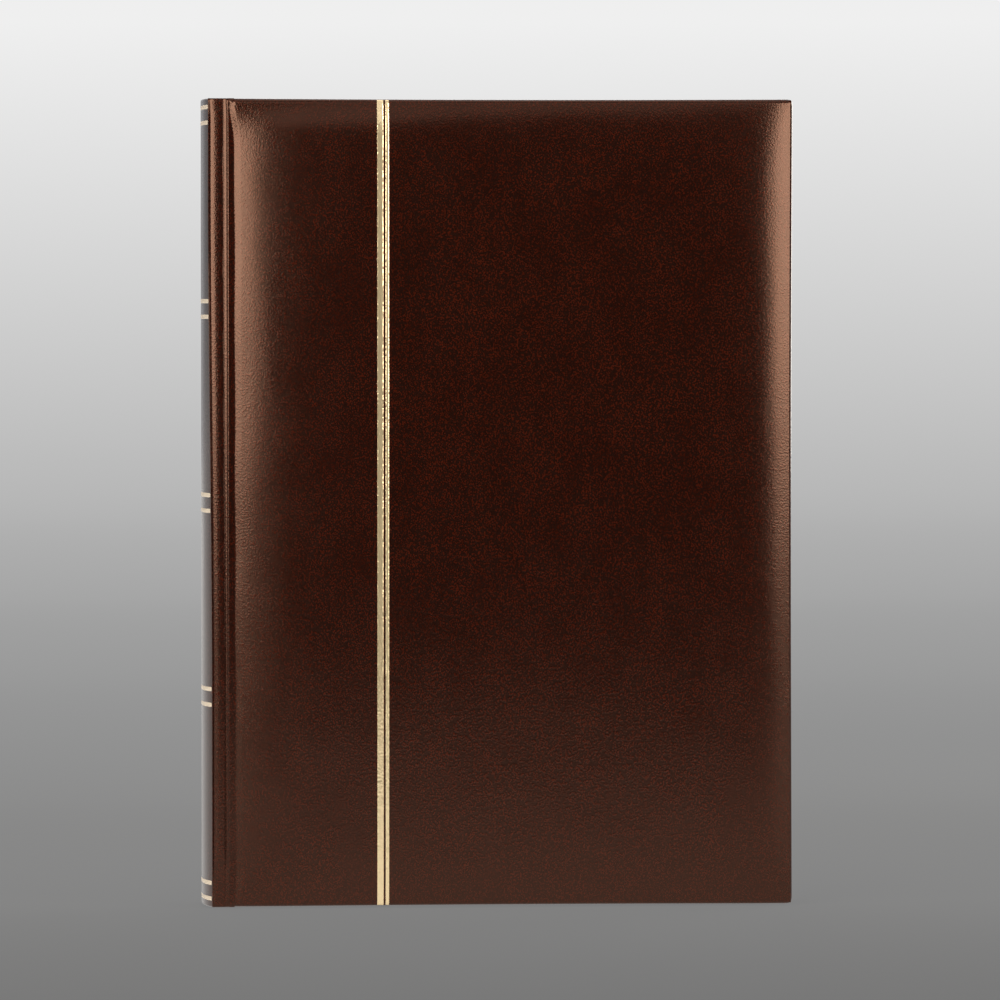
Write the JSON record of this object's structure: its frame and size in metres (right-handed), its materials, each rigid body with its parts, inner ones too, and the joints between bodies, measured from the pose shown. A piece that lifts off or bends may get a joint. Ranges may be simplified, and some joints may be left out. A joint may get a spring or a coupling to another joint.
{
  "type": "stamp album",
  "caption": "Stamp album standing closed: padded leatherette covers on double-creased joints, gold foil stripes, card leaves with clear pocket strips on linen hinges.",
  "frame": {"origin": "middle of the footprint, on the surface that the closed album stands on", "axes": "+X from spine to fore-edge, +Y from front cover to back cover, +Z from tail to head"},
  "size_m": [0.2267, 0.0467, 0.31],
  "materials": {
    "leatherette": "satin",
    "gold_foil": "polished",
    "greyboard": "matte",
    "padding_foam": "matte",
    "endpaper": "matte",
    "black_linen": "matte",
    "page_card": "matte",
    "clear_film": "gloss",
    "mull_lining": "matte"
  },
  "bodies": {
    "spine": {"spine_board": "greyboard", "spine_skin": "leatherette", "spine_foil_lines": "gold_foil", "spine_lining": "mull_lining", "guard_strips": "greyboard", "linen_stubs": "black_linen"},
    "front_joint": {"front_joint_skin": "leatherette", "front_joint_linen": "black_linen"},
    "front_cover": {"front_board": "greyboard", "front_padding": "padding_foam", "front_skin": "leatherette", "front_board_linen": "black_linen", "front_endpaper": "endpaper", "front_foil_band": "gold_foil"},
    "back_joint": {"back_joint_skin": "leatherette", "back_joint_linen": "black_linen"},
    "back_cover": {"back_board": "greyboard", "back_padding": "padding_foam", "back_skin": "leatherette", "back_board_linen": "black_linen", "back_endpaper": "endpaper"},
    "leaf_01": {"leaf_01": "page_card", "pocket_strips_01": "clear_film"},
    "leaf_02": {"leaf_02": "page_card", "pocket_strips_02": "clear_film"},
    "leaf_03": {"leaf_03": "page_card", "pocket_strips_03": "clear_film"},
    "leaf_04": {"leaf_04": "page_card", "pocket_strips_04": "clear_film"},
    "leaf_05": {"leaf_05": "page_card", "pocket_strips_05": "clear_film"},
    "leaf_06": {"leaf_06": "page_card", "pocket_strips_06": "clear_film"},
    "leaf_07": {"leaf_07": "page_card", "pocket_strips_07": "clear_film"},
    "leaf_08": {"leaf_08": "page_card", "pocket_strips_08": "clear_film"},
    "leaf_09": {"leaf_09": "page_card", "pocket_strips_09": "clear_film"},
    "leaf_10": {"leaf_10": "page_card", "pocket_strips_10": "clear_film"},
    "leaf_11": {"leaf_11": "page_card", "pocket_strips_11": "clear_film"},
    "leaf_12": {"leaf_12": "page_card", "pocket_strips_12": "clear_film"},
    "leaf_13": {"leaf_13": "page_card", "pocket_strips_13": "clear_film"},
    "leaf_14": {"leaf_14": "page_card", "pocket_strips_14": "clear_film"},
    "leaf_15": {"leaf_15": "page_card", "pocket_strips_15": "clear_film"},
    "leaf_16": {"leaf_16": "page_card", "pocket_strips_16": "clear_film"}
  },
  "joints": [
    {"name": "front_joint_fold", "type": "hinge", "parent": "spine", "child": "front_joint", "pos_m": [-0.1107, -0.01935, 0], "axis": [0, 0, -1], "range_deg": [0, 90]},
    {"name": "front_cover_swing", "type": "hinge", "parent": "front_joint", "child": "front_cover", "pos_m": [-0.1059, -0.01935, 0], "axis": [0, 0, -1], "range_deg": [0, 90]},
    {"name": "back_joint_fold", "type": "hinge", "parent": "spine", "child": "back_joint", "pos_m": [-0.1107, 0.01935, 0], "axis": [0, 0, 1], "range_deg": [0, 90]},
    {"name": "back_cover_swing", "type": "hinge", "parent": "back_joint", "child": "back_cover", "pos_m": [-0.1059, 0.01935, 0], "axis": [0, 0, 1], "range_deg": [0, 90]},
    {"name": "leaf_01_turn", "type": "hinge", "parent": "spine", "child": "leaf_01", "pos_m": [-0.09822, -0.01425, 0], "axis": [0, 0, -1], "range_deg": [0, 80]},
    {"name": "leaf_02_turn", "type": "hinge", "parent": "spine", "child": "leaf_02", "pos_m": [-0.09822, -0.01235, 0], "axis": [0, 0, -1], "range_deg": [0, 69.33]},
    {"name": "leaf_03_turn", "type": "hinge", "parent": "spine", "child": "leaf_03", "pos_m": [-0.09822, -0.01045, 0], "axis": [0, 0, -1], "range_deg": [0, 58.67]},
    {"name": "leaf_04_turn", "type": "hinge", "parent": "spine", "child": "leaf_04", "pos_m": [-0.09822, -0.00855, 0], "axis": [0, 0, -1], "range_deg": [0, 48]},
    {"name": "leaf_05_turn", "type": "hinge", "parent": "spine", "child": "leaf_05", "pos_m": [-0.09822, -0.00665, 0], "axis": [0, 0, -1], "range_deg": [0, 37.33]},
    {"name": "leaf_06_turn", "type": "hinge", "parent": "spine", "child": "leaf_06", "pos_m": [-0.09822, -0.00475, 0], "axis": [0, 0, -1], "range_deg": [0, 26.67]},
    {"name": "leaf_07_turn", "type": "hinge", "parent": "spine", "child": "leaf_07", "pos_m": [-0.09822, -0.00285, 0], "axis": [0, 0, -1], "range_deg": [0, 16]},
    {"name": "leaf_08_turn", "type": "hinge", "parent": "spine", "child": "leaf_08", "pos_m": [-0.09822, -0.00095, 0], "axis": [0, 0, -1], "range_deg": [0, 5.33]},
    {"name": "leaf_09_turn", "type": "hinge", "parent": "spine", "child": "leaf_09", "pos_m": [-0.09822, 0.00095, 0], "axis": [0, 0, 1], "range_deg": [0, 5.33]},
    {"name": "leaf_10_turn", "type": "hinge", "parent": "spine", "child": "leaf_10", "pos_m": [-0.09822, 0.00285, 0], "axis": [0, 0, 1], "range_deg": [0, 16]},
    {"name": "leaf_11_turn", "type": "hinge", "parent": "spine", "child": "leaf_11", "pos_m": [-0.09822, 0.00475, 0], "axis": [0, 0, 1], "range_deg": [0, 26.67]},
    {"name": "leaf_12_turn", "type": "hinge", "parent": "spine", "child": "leaf_12", "pos_m": [-0.09822, 0.00665, 0], "axis": [0, 0, 1], "range_deg": [0, 37.33]},
    {"name": "leaf_13_turn", "type": "hinge", "parent": "spine", "child": "leaf_13", "pos_m": [-0.09822, 0.00855, 0], "axis": [0, 0, 1], "range_deg": [0, 48]},
    {"name": "leaf_14_turn", "type": "hinge", "parent": "spine", "child": "leaf_14", "pos_m": [-0.09822, 0.01045, 0], "axis": [0, 0, 1], "range_deg": [0, 58.67]},
    {"name": "leaf_15_turn", "type": "hinge", "parent": "spine", "child": "leaf_15", "pos_m": [-0.09822, 0.01235, 0], "axis": [0, 0, 1], "range_deg": [0, 69.33]},
    {"name": "leaf_16_turn", "type": "hinge", "parent": "spine", "child": "leaf_16", "pos_m": [-0.09822, 0.01425, 0], "axis": [0, 0, 1], "range_deg": [0, 80]}
  ],
  "couplings": [
    {"joint": "front_cover_swing", "follows": "front_joint_fold", "ratio": 1},
    {"joint": "back_cover_swing", "follows": "back_joint_fold", "ratio": 1},
    {"joint": "leaf_01_turn", "follows": "front_joint_fold", "ratio": 0.88889},
    {"joint": "leaf_02_turn", "follows": "front_joint_fold", "ratio": 0.77033},
    {"joint": "leaf_03_turn", "follows": "front_joint_fold", "ratio": 0.65189},
    {"joint": "leaf_04_turn", "follows": "front_joint_fold", "ratio": 0.53333},
    {"joint": "leaf_05_turn", "follows": "front_joint_fold", "ratio": 0.41478},
    {"joint": "leaf_06_turn", "follows": "front_joint_fold", "ratio": 0.29633},
    {"joint": "leaf_07_turn", "follows": "front_joint_fold", "ratio": 0.17778},
    {"joint": "leaf_08_turn", "follows": "front_joint_fold", "ratio": 0.059222},
    {"joint": "leaf_09_turn", "follows": "back_joint_fold", "ratio": 0.059222},
    {"joint": "leaf_10_turn", "follows": "back_joint_fold", "ratio": 0.17778},
    {"joint": "leaf_11_turn", "follows": "back_joint_fold", "ratio": 0.29633},
    {"joint": "leaf_12_turn", "follows": "back_joint_fold", "ratio": 0.41478},
    {"joint": "leaf_13_turn", "follows": "back_joint_fold", "ratio": 0.53333},
    {"joint": "leaf_14_turn", "follows": "back_joint_fold", "ratio": 0.65189},
    {"joint": "leaf_15_turn", "follows": "back_joint_fold", "ratio": 0.77033},
    {"joint": "leaf_16_turn", "follows": "back_joint_fold", "ratio": 0.88889}
  ]
}
